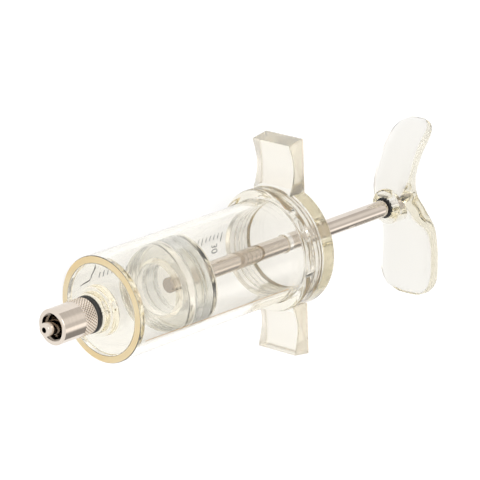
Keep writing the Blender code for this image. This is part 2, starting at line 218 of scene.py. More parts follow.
def dress(piece, body, node):
    """The piece rides with a body and replaces a node of the model."""
    weights = piece.modifiers.new("Weighted normals", "WEIGHTED_NORMAL")
    weights.mode = "FACE_AREA"
    weights.weight = NORMAL_WEIGHT
    weights.keep_sharp = True
    settle(piece)
    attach(piece, body)
    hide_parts(node)
    print(piece.name, "has", len(piece.data.polygons), "faces")


print("big faces count with a weight of", NORMAL_WEIGHT, "out of 100")

# %% [markdown]
# ## Nodes that every material needs
# Each finish is a small node tree: a noise pattern that lies on the piece, stretched to a range or
# turned into two tones, and led to the shader. An image would need a file and an unwrapped
# surface. A pattern made of nodes needs neither, and it stays sharp close up.

# %% Node helpers: patterns
def new_material(name):
    """A material, its node tree and its shader."""
    material = bpy.data.materials.new(name)
    material.use_nodes = True
    tree = material.node_tree
    return material, tree, tree.nodes["Principled BSDF"]


def place_on(tree):
    """The place on the piece, which the patterns follow."""
    return tree.nodes.new("ShaderNodeTexCoord").outputs["Object"]


def noise(tree, place, scale, detail=2):
    """A soft random pattern from 0 to 1. A larger scale makes it finer."""
    node = tree.nodes.new("ShaderNodeTexNoise")
    node.inputs["Scale"].default_value = scale
    node.inputs["Detail"].default_value = detail
    tree.links.new(place, node.inputs["Vector"])
    return node.outputs["Fac"]


def marked(tree, name):
    """The number that mark_faces stored under this name."""
    node = tree.nodes.new("ShaderNodeAttribute")
    node.attribute_name = name
    return node.outputs["Fac"]


print("ready: a new material, its place on the piece, noise and marks")

# %% [markdown]
# ## Nodes that shape a pattern
# A pattern runs from 0 to 1. It has to become a range of roughness, a pair of colours, a share of
# a mixture or a slight unevenness of the surface. One short helper does each of these.

# %% Node helpers: ranges, colours and bumps
MIX_A, MIX_B, MIX_RESULT = 6, 7, 2  # the colour sockets of a Mix node


def ranged(tree, value, low, high, from_low=0, from_high=1):
    """Stretches a value to the range from low to high."""
    node = tree.nodes.new("ShaderNodeMapRange")
    node.inputs["From Min"].default_value = from_low
    node.inputs["From Max"].default_value = from_high
    node.inputs["To Min"].default_value = low
    node.inputs["To Max"].default_value = high
    tree.links.new(value, node.inputs["Value"])
    return node.outputs["Result"]


def two_tone(tree, value, dark, pale, first=0.0, last=1.0):
    """Blends from dark to pale while the value goes from first to last."""
    node = tree.nodes.new("ShaderNodeValToRGB")
    low, high = node.color_ramp.elements
    low.position, low.color = first, (*dark, 1)
    high.position, high.color = last, (*pale, 1)
    tree.links.new(value, node.inputs["Fac"])
    return node.outputs["Color"]


def mixed(tree, share, one, two):
    """Mixes two colours. Each is a plain colour or comes from another node."""
    node = tree.nodes.new("ShaderNodeMix")
    node.data_type = "RGBA"
    tree.links.new(share, node.inputs["Factor"])
    for socket, colour in ((node.inputs[MIX_A], one), (node.inputs[MIX_B], two)):
        if isinstance(colour, tuple):
            socket.default_value = colour
        else:
            tree.links.new(colour, socket)
    return node.outputs[MIX_RESULT]


def bumped(tree, shader, height, strength, distance):
    """Lets a pattern tilt the light on the surface a little. The shape stays as it is."""
    node = tree.nodes.new("ShaderNodeBump")
    node.inputs["Strength"].default_value = strength
    node.inputs["Distance"].default_value = distance
    tree.links.new(height, node.inputs["Height"])
    tree.links.new(node.outputs["Normal"], shader.inputs["Normal"])


print("a Mix node takes its colours at sockets", MIX_A, "and", MIX_B)

# %% [markdown]
# ## The clear plastic
# The barrel, its plug, the cap, the piston plates and the handle are moulded in a clear plastic
# that has turned slightly yellow. Seen through a thin wall it looks almost white, and along a wall
# or at an edge it glows like honey. A yellow surface colour can't do that. Here the surface is
# nearly colourless glass, and the colour sits in the volume, where it grows with the length of
# the light's path. Marked faces are rougher and let less light through, and a honey colour is
# painted on them: a painted glow that stands in for the light the wall carries out to them.

# %% Clear plastic
PLASTIC_IOR = 1.49
HONEY_INSIDE = (0.85, 0.71, 0.25, 1)
HONEY_DENSITY = 19
SATIN_THROUGH = 0.30
PAINTED_GLOW_DARK, PAINTED_GLOW_PALE = (0.88, 0.64, 0.29), (0.93, 0.80, 0.55)
SCUFF_SCALE, PATCH_SCALE, RIPPLE_SCALE = 60, 45, 140


def clear_plastic(name, yellow=1.0, roughness=0.03, haze=0.01, tint=0.995):
    """Glass with honey inside. The haze is the share of light that doesn't pass."""
    material, tree, shader = new_material(name)
    shader.inputs["IOR"].default_value = PLASTIC_IOR
    place = place_on(tree)
    satin_and_glow = marked(tree, "satin_and_glow")

    scuffs = ranged(tree, noise(tree, place, SCUFF_SCALE, 3), roughness * 0.4, roughness * 1.6)
    both = tree.nodes.new("ShaderNodeMath")
    both.operation = "ADD"
    tree.links.new(scuffs, both.inputs[0])
    tree.links.new(satin_and_glow, both.inputs[1])
    tree.links.new(both.outputs["Value"], shader.inputs["Roughness"])

    let_through = ranged(tree, satin_and_glow, 1 - haze, SATIN_THROUGH)
    tree.links.new(let_through, shader.inputs["Transmission Weight"])
    # Painted glow: marked faces take a patchy honey colour in place of the light that leaves the
    # wall there.
    patches = noise(tree, place, PATCH_SCALE, 1)
    painted_glow = two_tone(tree, patches, PAINTED_GLOW_DARK, PAINTED_GLOW_PALE, 0.35, 0.65)
    colour = mixed(tree, satin_and_glow, (tint, tint * 0.995, tint * 0.985, 1), painted_glow)
    tree.links.new(colour, shader.inputs["Base Color"])
    bumped(tree, shader, noise(tree, place, RIPPLE_SCALE, 1), 0.05, 0.0002)

    inside = tree.nodes.new("ShaderNodeVolumeAbsorption")
    inside.inputs["Color"].default_value = HONEY_INSIDE
    inside.inputs["Density"].default_value = HONEY_DENSITY * yellow
    tree.links.new(inside.outputs["Volume"], tree.nodes["Material Output"].inputs["Volume"])
    return material


print("the plastic bends light with an index of", PLASTIC_IOR)

# %% [markdown]
# ## The barrel
# The barrel is an open tube with a screw thread under the cap. The model has plain rings there. A
# true helix is cut here, because the photograph shows it through the clear cap. The tube was cut
# to length, and a cut end is satin. The light that travels inside the wall comes out there, and
# its honey glow is painted on the cut ends.

# %% Barrel
BARREL_RADIUS = 0.01597
BORE_RADIUS = 0.01375
BARREL_LENGTH = 0.0758
THREAD_PITCH = 0.0018
THREAD_DEPTH = 0.0009
THREAD_TURNS = 4
THREAD_START = BARREL_LENGTH - THREAD_TURNS * THREAD_PITCH
THREAD_STEP = THREAD_PITCH / 10
OUTER_SKIN = 0.0006  # points this near to the outside are cut by the thread
CUT_END = 0.00005  # faces this near to an end belong to the cut


def thread_wave(x, angle):
    """How deep the thread cuts at this place. It runs in softly over its first turn."""
    turn = (x / THREAD_PITCH - angle / (2 * math.pi)) % 1
    fade = min(1, max(0, (x - THREAD_START) / THREAD_PITCH))
    return THREAD_DEPTH * abs(2 * turn - 1) * fade


def barrel_wave(x, r, angle):
    if r < BARREL_RADIUS - OUTER_SKIN or x < THREAD_START:
        return 0
    return -thread_wave(x, angle)


# Marks the cut ends as satin and gives them the painted honey glow.
def barrel_satin(x, r):
    return 1.0 if x < CUT_END or x > BARREL_LENGTH - CUT_END else 0.0


threaded_places = stations(THREAD_START, BARREL_LENGTH - 0.0001, THREAD_STEP)[1:]
barrel = turned("barrel_tube", [
    (0.0, BORE_RADIUS, 0.0002),
    (0.0, BARREL_RADIUS, 0.0004),
    (THREAD_START, BARREL_RADIUS),
    *[(x, BARREL_RADIUS) for x in threaded_places],
    (BARREL_LENGTH, BARREL_RADIUS - THREAD_DEPTH),
    (BARREL_LENGTH, BORE_RADIUS),
], wave=barrel_wave)
mark_faces(barrel, "satin_and_glow", barrel_satin)
coat(barrel, clear_plastic("barrel_plastic", tint=0.98))
dress(barrel, "barrel", "barrel")

# %% [markdown]
# ## The front plug
# A thick disc closes the tube. It is glued in flush with the tube's end, so that its rim shows
# only as a fine line inside the glowing ring of the tube wall. A stepped boss in its middle takes
# the nozzle. Disc and boss are one turned outline. The honey inside is a little denser than the
# tube's, for an amber tone round the boss.

# %% Front plug
PLUG_RADIUS = BORE_RADIUS - 0.00006
PLUG_BACK = 0.0032
STUD_HOLE, CANAL = 0.0028, 0.0012
BOSS_FRONT, BOSS_STEP = -0.0042, -0.0022
BOSS_RADIUS, STEP_RADIUS = 0.0062, 0.0075
plug = turned("front_disc", [
    (BOSS_FRONT, STUD_HOLE),
    (BOSS_FRONT, BOSS_RADIUS, 0.0008),
    (BOSS_STEP, BOSS_RADIUS, 0.0002),
    (BOSS_STEP, STEP_RADIUS, 0.0008),
    (0.0, STEP_RADIUS, 0.0003),
    (0.0, PLUG_RADIUS, 0.0002),
    (PLUG_BACK, PLUG_RADIUS, 0.0003),
    (PLUG_BACK, CANAL),
    (-0.0011, CANAL),
    (-0.0011, STUD_HOLE),
])
coat(plug, clear_plastic("plug_plastic", yellow=1.4))
dress(plug, "barrel", "front_plug")

# %% [markdown]
# ## The cap
# The cap screws over the barrel's rear end. It is a skirt with an end wall, and the rod passes
# through a hole in the wall. Its inner thread is the barrel's wave, cut a small gap further out,
# so that the two threads follow each other without touching.

# %% Cap
FIT = 0.0003  # the gap to the barrel and to the rod
CAP_RADIUS = 0.01906
CAP_INSIDE = BARREL_LENGTH + FIT
CAP_FRONT = CAP_INSIDE - 0.0077
CAP_BACK = CAP_INSIDE + 0.0030
ROD_RADIUS = 0.00265


def cap_wave(x, r, angle):
    """The thread inside the skirt, and nothing on the outside or round the rod."""
    if r > BARREL_RADIUS + 0.0004 or r < 0.01 or x > CAP_INSIDE - 0.0001:
        return 0
    return -thread_wave(x, angle)


threaded_places = stations(BARREL_LENGTH - 0.0001, THREAD_START + 0.0004, THREAD_STEP)
cap = turned("cap_moulding", [
    (CAP_FRONT, BARREL_RADIUS + FIT, 0.0002),
    (CAP_FRONT, CAP_RADIUS, 0.0015),
    (CAP_BACK, CAP_RADIUS, 0.0006),
    (CAP_BACK, ROD_RADIUS + FIT),
    (CAP_INSIDE, ROD_RADIUS + FIT),
    (CAP_INSIDE, BARREL_RADIUS + FIT - THREAD_DEPTH),
    *[(x, BARREL_RADIUS + FIT) for x in threaded_places],
], wave=cap_wave)
print("the cap is", round((CAP_BACK - CAP_FRONT) * 1000, 1), "mm long")

# %% [markdown]
# ## The finger wings
# Two wings on the cap take the fingers. Each is drawn from above as a strip with a hollow front
# edge, pulled up to its width, and rounded at its edges with a bevel. A Boolean joins it to the
# cap, because the real cap is one moulding. Fingers have rubbed the wings a little dull, and a
# fifth of the painted honey glow lies on them too.

# %% Wings
WING_ROOT, WING_TIP = 0.0168, 0.03403
WING_CORNER = WING_TIP - 0.0010
WING_WIDTH = 0.0153
WING_STEPS = 24
LENGTH_AT_TIP, LENGTH_AT_ROOT, LENGTH_AT_WAIST = 0.0065, 0.0070, 0.0047
# How rubbed the wings are, and how much painted honey glow they take.
WING_SATIN_AND_GLOW = 0.2
BEVEL_DEGREES = 40


def wing_mesh(direction):
    """One wing, to the side that direction (1 or -1) says."""
    outline = [(CAP_BACK, WING_ROOT), (CAP_BACK, WING_TIP)]
    for step in range(WING_STEPS + 1):
        share = step / WING_STEPS
        length = LENGTH_AT_TIP + (LENGTH_AT_ROOT - LENGTH_AT_TIP) * share
        hollow = (length - LENGTH_AT_WAIST) * math.sin(math.pi * share)
        y = WING_CORNER - (WING_CORNER - WING_ROOT) * share
        outline.append((CAP_BACK - length + hollow, y))
    work = bmesh.new()
    half = WING_WIDTH / 2
    low = work.faces.new([work.verts.new((x, direction * y, -half)) for x, y in outline])
    top = bmesh.ops.extrude_face_region(work, geom=[low])["geom"]
    top_points = [part for part in top if isinstance(part, bmesh.types.BMVert)]
    bmesh.ops.translate(work, verts=top_points, vec=(0, 0, 2 * half))
    return finish_mesh("wing", work)


def combine(obj, other, operation):
    """Joins other to obj, or cuts it away, with an exact Boolean, and removes it."""
    step = obj.modifiers.new("Boolean", "BOOLEAN")
    step.operation = operation
    step.solver = "EXACT"
    step.object = other
    settle(obj)
    bpy.data.objects.remove(other)


for direction in (1, -1):
    wing = wing_mesh(direction)
    bevel = wing.modifiers.new("Rounded edges", "BEVEL")
    bevel.width = 0.0008
    bevel.segments = 4
    bevel.limit_method = "ANGLE"
    bevel.angle_limit = math.radians(BEVEL_DEGREES)
    combine(cap, wing, "UNION")
shade(cap.data, SHARP_DEGREES)
coat(cap, clear_plastic("cap_plastic", roughness=0.05, haze=0.03, tint=0.91))
mark_faces(cap, "satin_and_glow", lambda x, r: WING_SATIN_AND_GLOW if r > CAP_RADIUS + 0.0004 else 0.0)
dress(cap, "barrel", "cap")

# %% [markdown]
# ## The luer lock nozzle
# The nozzle is one turned piece. The collar has a lock thread inside, a fine knurl at its rear,
# and a small cone in the middle that carries the needle. The knurl is two sets of leaning ridges
# that cross. Two cosine waves added together make the same small pyramids.

# %% Nozzle
KNURL_TEETH = 36
KNURL_HEIGHT = 0.00015
KNURL_PITCH = 0.0011
LOCK_RADIUS = 0.0041
LOCK_PITCH = 0.0025
LOCK_HEIGHT = 0.0005
LOCK_SHARE = 0.22  # half the width of a ridge, as a share of the pitch
COLLAR_FRONT = -0.0194
COLLAR_BACK = -0.0062
COLLAR_RADIUS = 0.00535
KNURL_START = COLLAR_BACK - 0.0044
NOZZLE_BACK = -0.0014
NOZZLE_CANAL, NOZZLE_STUD = 0.00085, 0.0025
NOZZLE_SEGMENTS = 360


def nozzle_wave(x, r, angle):
    """The knurl on the outside, and the two starts of the lock thread inside the collar."""
    if KNURL_START < x < COLLAR_BACK - 0.0001 and r > 0.0050:
        lean = (x - KNURL_START) * 2 * math.pi / KNURL_PITCH
        around = KNURL_TEETH * angle
        return KNURL_HEIGHT * (math.cos(around + lean) + math.cos(around - lean))
    inside = 0.0040 < r < 0.0042 and COLLAR_FRONT + 0.0003 < x < COLLAR_FRONT + 0.0066
    if inside:
        turn = (x / LOCK_PITCH - angle / math.pi) % 1
        return -LOCK_HEIGHT * max(0, 1 - abs(turn - 0.5) / LOCK_SHARE)
    return 0


lock_places = stations(COLLAR_FRONT + 0.0068, COLLAR_FRONT + 0.0002, 0.00015)
knurl_places = stations(KNURL_START + 0.0002, COLLAR_BACK - 0.0002, 0.00014)
nozzle = turned("nozzle_turned", [
    (COLLAR_FRONT - 0.0029, NOZZLE_CANAL),
    (COLLAR_FRONT - 0.0029, 0.00198, 0.0003),
    (COLLAR_FRONT + 0.0072, 0.00228),
    (COLLAR_FRONT + 0.0072, LOCK_RADIUS),
    *[(x, LOCK_RADIUS) for x in lock_places],
    (COLLAR_FRONT, 0.0043),
    (COLLAR_FRONT, COLLAR_RADIUS, 0.0005),
    (KNURL_START - 0.0002, COLLAR_RADIUS),
    (KNURL_START, 0.0054),
    *[(x, 0.00525) for x in knurl_places],
    (COLLAR_BACK, 0.0052),
    (COLLAR_BACK, NOZZLE_STUD),
    (NOZZLE_BACK, NOZZLE_STUD),
    (NOZZLE_BACK, NOZZLE_CANAL),
], NOZZLE_SEGMENTS, wave=nozzle_wave)
print("the nozzle is", round((NOZZLE_BACK - COLLAR_FRONT + 0.0029) * 1000, 1), "mm long")

# %% [markdown]
# ## Painted shade in the nozzle's hollows
# The inside of the collar and the grooves of the knurl lie in shade, and that shade is painted on
# them in brown. A second, brown piece would be too much for that. A mark on the faces is enough,
# because the metal's material can read it.

# %% Painted shade
# Painted shade: how far the collar's inside and the knurl's grooves go over to brown.
COLLAR_SHADE, GROOVE_SHADE = 0.75, 0.7


def nozzle_dull(x, r):
    if COLLAR_FRONT + 0.0002 < x < COLLAR_BACK and 0.0023 < r < 0.00415:
        return COLLAR_SHADE
    if KNURL_START < x < COLLAR_BACK - 0.0001 and 0.0045 < r < 0.0052:
        return GROOVE_SHADE
    return 0.0


mark_faces(nozzle, "painted_shade", nozzle_dull)
marks = nozzle.data.attributes["painted_shade"].data
print(sum(mark.value > 0 for mark in marks), "faces of the nozzle are dull")

# %% [markdown]
# ## Plated metal
# Nickel plating is a pale, warm metal. Fine lines along the turning direction vary its colour,
# gloss and height a little. They come from a noise pattern that is stretched far across the axis,
# so that it turns into rings. Marked faces go over to brown, as painted shade.

# %% Plated metal
# Painted shade: the brown that marked faces go over to.
PAINTED_SHADE_COLOUR = (0.10, 0.075, 0.05, 1)
LINE_STRETCH = (1, 0.04, 0.04)


def plated_metal(name, colour, roughness, grain):
    """A turned and plated surface. The grain is the fineness of its lines."""
    material, tree, shader = new_material(name)
    shader.inputs["Metallic"].default_value = 1
    stretch = tree.nodes.new("ShaderNodeMapping")
    stretch.inputs["Scale"].default_value = LINE_STRETCH
    tree.links.new(place_on(tree), stretch.inputs["Vector"])
    lines = noise(tree, stretch.outputs["Vector"], grain, 4)
    plate = two_tone(tree, lines, [c * 0.86 for c in colour], colour)
    tree.links.new(mixed(tree, marked(tree, "painted_shade"), plate, PAINTED_SHADE_COLOUR), shader.inputs["Base Color"])
    gloss = ranged(tree, lines, roughness * 0.7, roughness * 1.3)
    tree.links.new(gloss, shader.inputs["Roughness"])
    bumped(tree, shader, lines, 0.15, 0.00005)
    return material


coat(nozzle, plated_metal("nickel_plate", (0.74, 0.66, 0.58), 0.11, 900))
dress(nozzle, "barrel", "luer_nozzle")

# %% [markdown]
# ## Black rubber
# A rubber washer seals the nozzle against the boss, and a thin notched one sits between rod and
# handle. Rubber is nearly black, and a fine grain in its roughness keeps its shine dull and
# uneven.

# %% Black rubber
RUBBER_GRAIN = 1500
RUBBER_ROUGHNESS = (0.35, 0.6)


def black_rubber(name):
    material, tree, shader = new_material(name)
    shader.inputs["Base Color"].default_value = (0.012, 0.012, 0.012, 1)
    grain = noise(tree, place_on(tree), RUBBER_GRAIN)
    tree.links.new(ranged(tree, grain, *RUBBER_ROUGHNESS), shader.inputs["Roughness"])
    return material


WASHER_FRONT, WASHER_BACK = -0.0061, -0.0044
WASHER_INSIDE, WASHER_RADIUS = 0.0029, 0.0056
washer = turned("nozzle_ring", [
    (WASHER_FRONT, WASHER_INSIDE, 0.0003), (WASHER_FRONT, WASHER_RADIUS, 0.0005),
    (WASHER_BACK, WASHER_RADIUS, 0.0005), (WASHER_BACK, WASHER_INSIDE, 0.0003),
])
coat(washer, black_rubber("ring_rubber"))
dress(washer, "barrel", "nozzle_washer")

# %% [markdown]
# ## The piston
# Two clear plates squeeze a ring of translucent silicone, so the grip on the bore can be set by
# turning the handle. The rod's threaded end shows in the front plate's pocket. All three are
# turned outlines that fit into each other, like the real pieces.

# %% Piston
PLATE_RADIUS = 0.0133
SEAL_RADIUS = 0.0135
POCKET_RADIUS, SLEEVE_RADIUS = 0.0078, 0.0091
PLATE_FRONT, PLATE_BACK = 0.0216, 0.0242
POCKET_FLOOR, SLEEVE_BACK, ROD_HOLE = 0.0299, 0.0317, 0.0026
CUP_FRONT, CUP_FLOOR, CUP_BACK, CUP_HOLE = 0.0313, 0.0322, 0.0335, 0.0027
SEAL_FRONT, SEAL_BACK, SEAL_INSIDE = 0.0244, 0.0311, 0.0093
GROOVE_FRONT, GROOVE_MIDDLE, GROOVE_BACK, GROOVE_RADIUS = 0.0272, 0.02775, 0.0283, 0.0130
piston_front = turned("piston_front", [
    (PLATE_FRONT, POCKET_RADIUS, 0.0003), (PLATE_FRONT, PLATE_RADIUS, 0.0005),
    (PLATE_BACK, PLATE_RADIUS, 0.0004), (PLATE_BACK, SLEEVE_RADIUS),
    (SLEEVE_BACK, SLEEVE_RADIUS), (SLEEVE_BACK, ROD_HOLE),
    (POCKET_FLOOR, ROD_HOLE), (POCKET_FLOOR, POCKET_RADIUS),
])
piston_back = turned("piston_back", [
    (CUP_FRONT, SEAL_INSIDE), (CUP_FRONT, PLATE_RADIUS, 0.0004),
    (CUP_BACK, PLATE_RADIUS, 0.0005), (CUP_BACK, CUP_HOLE),
    (CUP_FLOOR, CUP_HOLE), (CUP_FLOOR, SEAL_INSIDE),
])
piston_ring = turned("piston_ring", [
    (SEAL_FRONT, SEAL_INSIDE), (SEAL_FRONT, SEAL_RADIUS, 0.0005),
    (GROOVE_FRONT, SEAL_RADIUS, 0.0003), (GROOVE_MIDDLE, GROOVE_RADIUS, 0.0003),
    (GROOVE_BACK, SEAL_RADIUS, 0.0003), (SEAL_BACK, SEAL_RADIUS, 0.0005),
    (SEAL_BACK, SEAL_INSIDE),
])
plate_plastic = clear_plastic("piston_plastic", roughness=0.02)
coat(piston_front, plate_plastic)
coat(piston_back, plate_plastic)
print("the piston is", round((CUP_BACK - PLATE_FRONT) * 1000, 1), "mm long")

# %% [markdown]
# ## Silicone
# Silicone lets light through but blurs what is behind it. A mixture of a clear and a white shader
# could do that too, but it takes two shaders. Here it is one rough glass with a small share of
# light that doesn't pass, and a cloudy pattern varies its tone and roughness.

# %% Silicone
SILICONE_IOR = 1.41
SILICONE_THROUGH = 0.96
CLOUD_SCALE = 150


def silicone(name):
    material, tree, shader = new_material(name)
    shader.inputs["Transmission Weight"].default_value = SILICONE_THROUGH
    shader.inputs["IOR"].default_value = SILICONE_IOR
    cloud = noise(tree, place_on(tree), CLOUD_SCALE)
    tone = two_tone(tree, cloud, (0.95, 0.96, 0.93), (0.98, 0.985, 0.965))
    tree.links.new(tone, shader.inputs["Base Color"])
    tree.links.new(ranged(tree, cloud, 0.14, 0.24), shader.inputs["Roughness"])
    return material


coat(piston_ring, silicone("silicone"))
dress(piston_front, "piston", "piston_front_plate")
dress(piston_back, "piston", "piston_rear_plate")
dress(piston_ring, "piston", "piston_seal")

# %% [markdown]
# ## The plunger rod
# The rod is a plated bar. Its front end carries a screw thread, which shows in the piston's
# pocket, and its tail is screwed into the handle. Both threads are cut by a wave like the
# barrel's, only finer. The front thread sits in the pocket, and its shade there is painted on it.

# %% Rod
ROD_THREAD_PITCH = 0.0008
ROD_THREAD_DEPTH = 0.00035
ROD_THREAD_STEP = ROD_THREAD_PITCH / 8
FRONT_THREAD, TAIL_THREAD = 0.0023, 0.0021  # their radii
ROD_FRONT, FRONT_THREAD_END, ROD_SHOULDER = 0.0262, 0.0336, 0.0337
REAR_SHOULDER, TAIL_THREAD_END, ROD_BACK = 0.1226, 0.1308, 0.1316
ROD_SEGMENTS = 96
# Painted shade on the front thread, inside the piston's pocket.
FRONT_THREAD_SHADE = 0.35


def rod_wave(x, r, angle):
    in_front = 0.0266 < x < FRONT_THREAD_END and r > 0.0022
    in_tail = 0.1230 < x < TAIL_THREAD_END and r > 0.0020
    if not (in_front or in_tail):
        return 0
    turn = (x / ROD_THREAD_PITCH - angle / (2 * math.pi)) % 1
    return -ROD_THREAD_DEPTH * abs(2 * turn - 1)


rod = turned("rod_bar", [
    (ROD_FRONT, 0),
    (ROD_FRONT, 0.0019),
    (0.0266, FRONT_THREAD),
    *[(x, FRONT_THREAD) for x in stations(0.0267, 0.0335, ROD_THREAD_STEP)],
    (ROD_SHOULDER, FRONT_THREAD),
    (ROD_SHOULDER, ROD_RADIUS, 0.0002),
    (REAR_SHOULDER, ROD_RADIUS, 0.0002),
    (REAR_SHOULDER, TAIL_THREAD),
    *[(x, TAIL_THREAD) for x in stations(0.1231, 0.1307, ROD_THREAD_STEP)],
    (0.1312, TAIL_THREAD),
    (ROD_BACK, 0.0017),
    (ROD_BACK, 0),
], ROD_SEGMENTS, closed=False, wave=rod_wave)
mark_faces(rod, "painted_shade", lambda x, r: FRONT_THREAD_SHADE if x < FRONT_THREAD_END else 0.0)
coat(rod, plated_metal("rod_plate", (0.70, 0.63, 0.56), 0.06, 300))
dress(rod, "rod", "plunger_rod")

# %% [markdown]
# ## The notched ring
# A thin black ring with a notched rim sits between the rod's shoulder and the handle. The upper
# half of a cosine wave cuts its notches, so that the teeth between them stay round.

# %% Notched ring
RING_NOTCHES = 16
NOTCH_DEPTH = 0.0004
RING_SEGMENTS = 192
RING_FRONT, RING_BACK = 0.1230, 0.1239
RING_INSIDE, RING_RADIUS = 0.0024, 0.0033


def notch_wave(x, r, angle):
    return -NOTCH_DEPTH * max(0.0, math.cos(RING_NOTCHES * angle)) if r > 0.003 else 0


star = turned("handle_ring", [
    (RING_FRONT, RING_INSIDE), (RING_FRONT, RING_RADIUS, 0.0002),
    (RING_BACK, RING_RADIUS, 0.0002), (RING_BACK, RING_INSIDE),
], RING_SEGMENTS, wave=notch_wave)
coat(star, black_rubber("star_rubber"))
dress(star, "rod", "handle_washer")

# %% [markdown]
# ## The handle's table
# The palm handle is one clear moulding, a thick blade that swings back at the top and bulges at
# the bottom. A short table describes it at thirteen heights: the height, how far it is set back,
# its width and its thickness. They are shares of the blade's measures in the next step. A smooth
# curve through the rows fills the places in between, as a bent ruler would.

# %% Handle rows
HANDLE_ROWS = (
    (1.00, 1.00, 0.30, 0.50),
    (0.95, 0.93, 0.52, 0.86),
    (0.84, 0.70, 0.66, 1.06),
    (0.64, 0.31, 0.67, 1.06),
    (0.38, 0.02, 0.68, 1.03),
    (0.15, 0.00, 0.74, 1.06),
    (-0.08, 0.27, 0.84, 1.16),
    (-0.25, 0.50, 0.93, 1.08),
    (-0.45, 0.58, 0.98, 0.93),
    (-0.65, 0.56, 1.00, 0.91),
    (-0.82, 0.53, 0.98, 0.90),
    (-0.94, 0.51, 0.78, 0.82),
    (-1.00, 0.50, 0.46, 0.50),
)
HANDLE_STEPS = 145


def blended(rows, count):
    """A smooth curve through the rows, read at count places."""
    result = []
    for step in range(count):
        spot = step / (count - 1) * (len(rows) - 1)
        index = min(int(spot), len(rows) - 2)
        t = spot - index
        before, after = rows[max(index - 1, 0)], rows[min(index + 2, len(rows) - 1)]
        result.append([
            b + 0.5 * t * (c - a + t * (2 * a - 5 * b + 4 * c - d + t * (3 * (b - c) + d - a)))
            for a, b, c, d in zip(before, rows[index], rows[index + 1], after)
        ])
    return result


handle_rows = blended(HANDLE_ROWS, HANDLE_STEPS)
print(len(HANDLE_ROWS), "rows become", len(handle_rows))

# %% [markdown]
# ## The handle's blade
# Each row becomes a ring of points, a rectangle with wide round corners. Faces between the rings
# and one at each end make the blade. This is a loft, and it follows the swing more evenly than a
# bent box would.

# %% Handle blade
HANDLE_FACE = 0.1242
BLADE_MIDDLE = HANDLE_FACE + 0.0049
SWING = 0.011
HALF_WIDTH, HALF_THICKNESS = 0.011, 0.003
REACH_UP, REACH_DOWN = 0.0251, 0.0305
CORNER_STEPS = 12
CORNER_DEPTH, CORNER_WIDTH = 0.88, 0.0045
CORNERS = ((1, 1), (-1, 1), (-1, -1), (1, -1))
HANDLE_SHARP = 40


def handle_ring_points(height, set_back, width, thickness):
    """The points round the blade at one height."""
    middle = BLADE_MIDDLE + set_back * SWING
    half_thickness = thickness * HALF_THICKNESS
    half_width = width * HALF_WIDTH
    deep = half_thickness * CORNER_DEPTH
    wide = min(CORNER_WIDTH, half_width * 0.8)
    points = []
    for quarter, (forward, across) in enumerate(CORNERS):
        for step in range(CORNER_STEPS + 1):
            angle = math.pi / 2 * (quarter + step / CORNER_STEPS)
            points.append((
                middle + forward * (half_thickness - deep) + deep * math.cos(angle),
                height * (REACH_UP if height > 0 else REACH_DOWN),
                across * (half_width - wide) + wide * math.sin(angle),
            ))
    return points


def skin(work, rings):
    """Joins each ring of points to the next with faces, and closes both ends."""
    count = len(rings[0])
    for one, two in zip(rings, rings[1:]):
        for i in range(count):
            j = (i + 1) % count
            work.faces.new((one[i], one[j], two[j], two[i]))
    work.faces.new(rings[0])
    work.faces.new(rings[-1])


work = bmesh.new()
skin(work, [[work.verts.new(p) for p in handle_ring_points(*row)] for row in handle_rows])
handle = finish_mesh("palm_handle", work, HANDLE_SHARP)
print("the blade has", len(handle.data.polygons), "faces")

# %% [markdown]
# ## The handle's hub
# The rod's tail sits in a round hub in front of the blade. The hub is turned and joined, and the
# bore is a second turned body that is cut away, so blade and hub become one closed moulding.

# %% Hub and bore
HUB_RADIUS, HUB_BACK = 0.0056, HANDLE_FACE + 0.0065
HANDLE_BORE, BORE_FRONT, BORE_BACK = 0.00215, HANDLE_FACE - 0.002, 0.1318
hub = turned("hub", [
    (HANDLE_FACE, 0), (HANDLE_FACE, HUB_RADIUS, 0.0006), (HUB_BACK, HUB_RADIUS), (HUB_BACK, 0),
], 96, closed=False)
combine(handle, hub, "UNION")
bore = turned("bore", [
    (BORE_FRONT, 0), (BORE_FRONT, HANDLE_BORE), (BORE_BACK, HANDLE_BORE), (BORE_BACK, 0),
], 64, closed=False)
combine(handle, bore, "DIFFERENCE")
coat(handle, clear_plastic("handle_plastic", yellow=0.8, haze=0.03, tint=0.82))
shade(handle.data, HANDLE_SHARP)
dress(handle, "rod", "handle")

# %% [markdown]
# ## The printed scale
# The scale is printed on the far side of the barrel, so the camera reads it through both walls. A
# mark's place follows from the volume: one millilitre in this bore is 1.68 mm long. Each mark is
# a thin curved strip of ink. A mesh of ink is crisper than a picture of it.

# %% Scale marks
ML = 1e-6 / (math.pi * BORE_RADIUS ** 2)
LAST_VOLUME = 30
LAST_MARK = 0.0640
MARK_WIDTH = 0.0003
MARK_START = -70.0
MARK_STEPS = 8
LONG_MARK, MIDDLE_MARK, SHORT_MARK = 14.0, 11.0, 8.0  # in degrees round the tube
INK_RADIUS = BARREL_RADIUS + 0.00002
INK_THICKNESS = 0.00002


def round_point(x, degrees, radius):
    """A point on the tube, x along it and this far round it."""
    angle = math.radians(degrees)
    return Vector((x, radius * math.cos(angle), radius * math.sin(angle)))


def mark_place(volume):
    return LAST_MARK - (LAST_VOLUME - volume) * ML


def ink_strip(work, x, first, last):
    """A closed strip round the tube, from one angle to another."""
    half = MARK_WIDTH / 2
    profile = ((-half, 0), (half, 0), (half, INK_THICKNESS), (-half, INK_THICKNESS))
    sections = []
    for step in range(MARK_STEPS + 1):
        degrees = first + (last - first) * step / MARK_STEPS
        sections.append([
            work.verts.new(round_point(x + dx, degrees, INK_RADIUS + dr)) for dx, dr in profile
        ])
    skin(work, sections)


